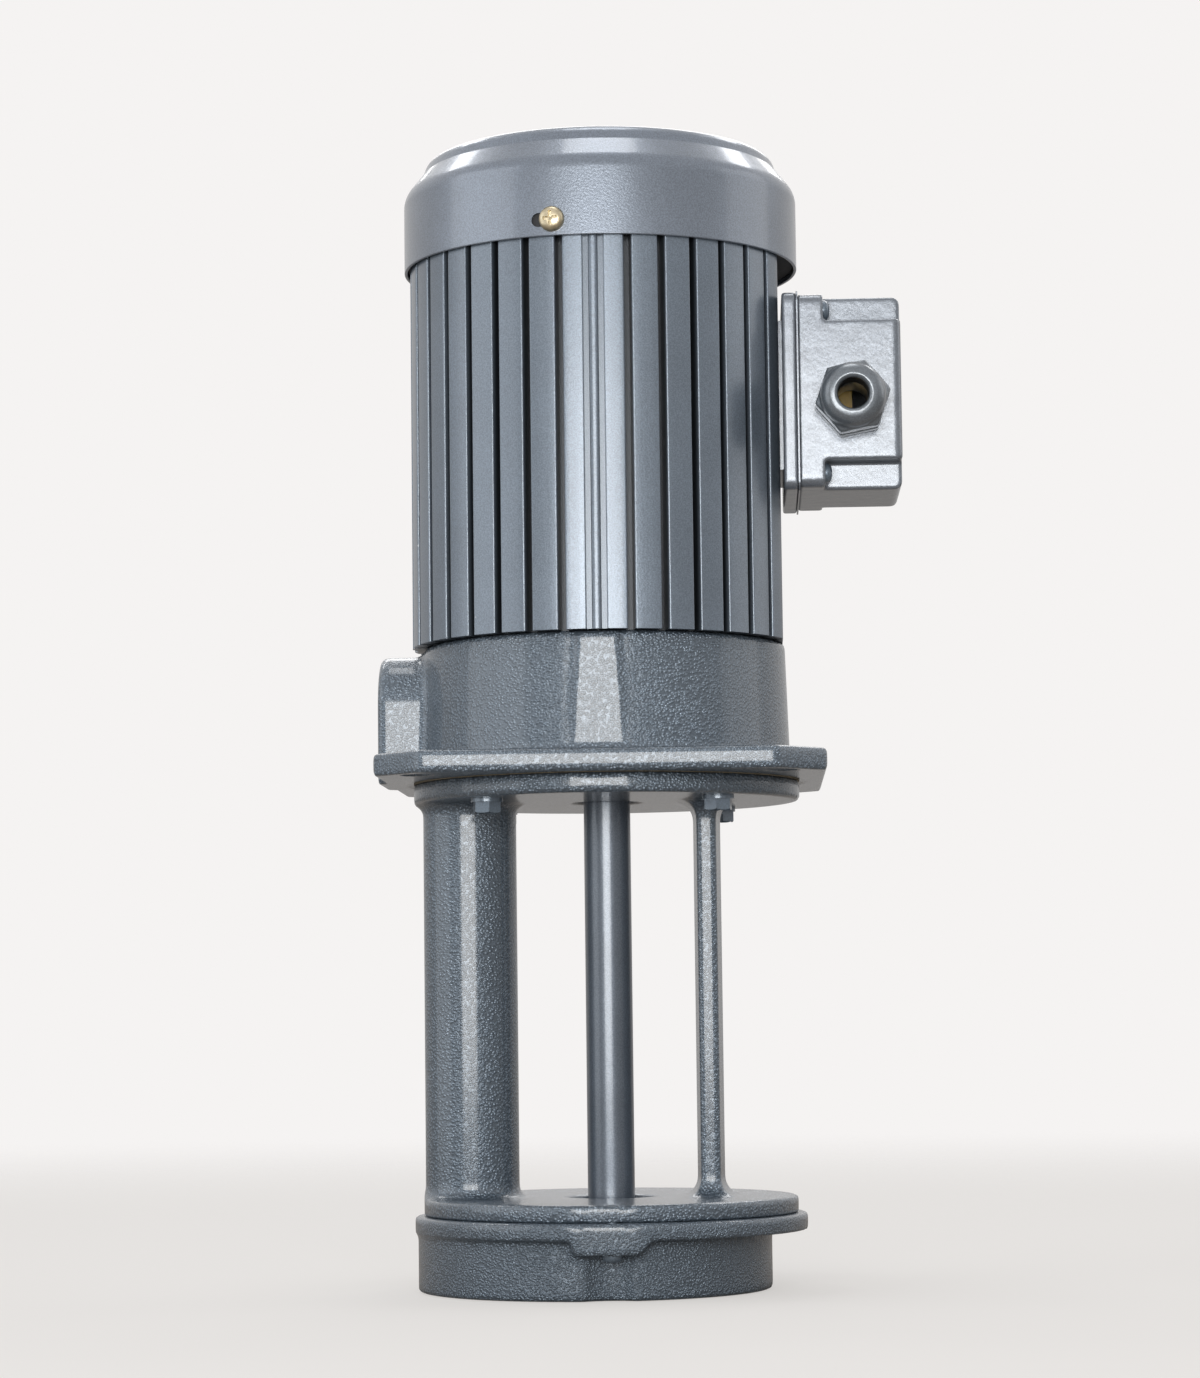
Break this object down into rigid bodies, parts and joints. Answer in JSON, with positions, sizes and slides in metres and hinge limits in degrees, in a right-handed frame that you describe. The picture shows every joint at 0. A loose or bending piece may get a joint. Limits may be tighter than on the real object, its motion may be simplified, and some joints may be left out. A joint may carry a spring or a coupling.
{
  "type": "immersion coolant pump",
  "caption": "Vertical immersion coolant pump: finned motor on a square flange, bare shaft and discharge tube below it, and a pump stage with a suction eye at the foot.",
  "frame": {"origin": "centre of the mounting flange's underside, on the shaft axis", "axes": "+Z along the shaft up to the motor, -Y towards the cable gland, -X towards the discharge port, +X towards the terminal box"},
  "size_m": [0.1684, 0.14, 0.3636],
  "materials": {
    "painted_steel": "semi-gloss blue-grey paint",
    "painted_aluminium": "semi-gloss blue-grey paint",
    "painted_casting": "blue-grey paint over a rough casting",
    "painted_brass": "blue-grey paint",
    "painted_fastener": "blue-grey paint",
    "yellow_zinc": "yellow zinc plate",
    "painted_shaft": "blue-grey paint",
    "bare_steel": "bare steel",
    "lamination": "blued sheet steel",
    "copper": "varnished copper wire",
    "aluminium": "cast",
    "black_plastic": "moulded",
    "brown_plastic": "moulded",
    "seal_rubber": "moulded",
    "gasket_paper": "pressed fibre sheet",
    "grey_iron": "as cast"
  },
  "bodies": {
    "root": {"base_gasket": "gasket_paper", "base_screws": "bare_steel", "bearing_circlip": "bare_steel", "block_screws": "bare_steel", "column_bolts": "painted_fastener", "column_gasket": "gasket_paper", "column_washers": "painted_fastener", "earth_screw": "bare_steel", "fan_cover": "painted_steel", "fan_cover_screws": "yellow_zinc", "gland_body": "painted_brass", "gland_locknut": "painted_brass", "gland_nut": "painted_brass", "gland_seal": "seal_rubber", "lower_bearing_outer": "bare_steel", "motor_bracket": "painted_casting", "motor_housing": "painted_aluminium", "oil_seal": "seal_rubber", "pump_column": "painted_casting", "stator_core": "lamination", "stator_winding": "copper", "suction_cover": "painted_casting", "suction_cover_screws": "painted_fastener", "terminal_block": "brown_plastic", "terminal_box_base": "painted_aluminium", "terminal_box_cover": "painted_aluminium", "terminal_box_gasket": "seal_rubber", "terminal_box_screws": "painted_fastener", "terminal_studs": "bare_steel", "through_bolts": "bare_steel", "upper_bearing_outer": "bare_steel", "upper_end_shield": "painted_aluminium", "wave_spring": "bare_steel"},
    "rotor": {"motor_shaft": "painted_shaft", "rotor_core": "lamination", "rotor_end_rings": "aluminium", "cooling_fan": "black_plastic", "fan_circlip": "bare_steel", "upper_bearing_inner": "bare_steel", "lower_bearing_inner": "bare_steel", "impeller": "grey_iron", "impeller_key": "bare_steel", "impeller_washer": "bare_steel", "impeller_nut": "bare_steel"},
    "upper_cage": {"upper_bearing_cage": "bare_steel"},
    "lower_cage": {"lower_bearing_cage": "bare_steel"}
  },
  "joints": [
    {"name": "rotor_spin", "type": "hinge", "parent": "root", "child": "rotor", "pos_m": [0, 0, 0], "axis": [0, 0, 1], "continuous": true},
    {"name": "upper_cage_spin", "type": "hinge", "parent": "root", "child": "upper_cage", "pos_m": [0, 0, 0.1635], "axis": [0, 0, 1], "continuous": true},
    {"name": "lower_cage_spin", "type": "hinge", "parent": "root", "child": "lower_cage", "pos_m": [0, 0, 0.024], "axis": [0, 0, 1], "continuous": true}
  ],
  "couplings": [
    {"joint": "upper_cage_spin", "follows": "rotor_spin", "ratio": 0.3812},
    {"joint": "lower_cage_spin", "follows": "rotor_spin", "ratio": 0.3818}
  ]
}
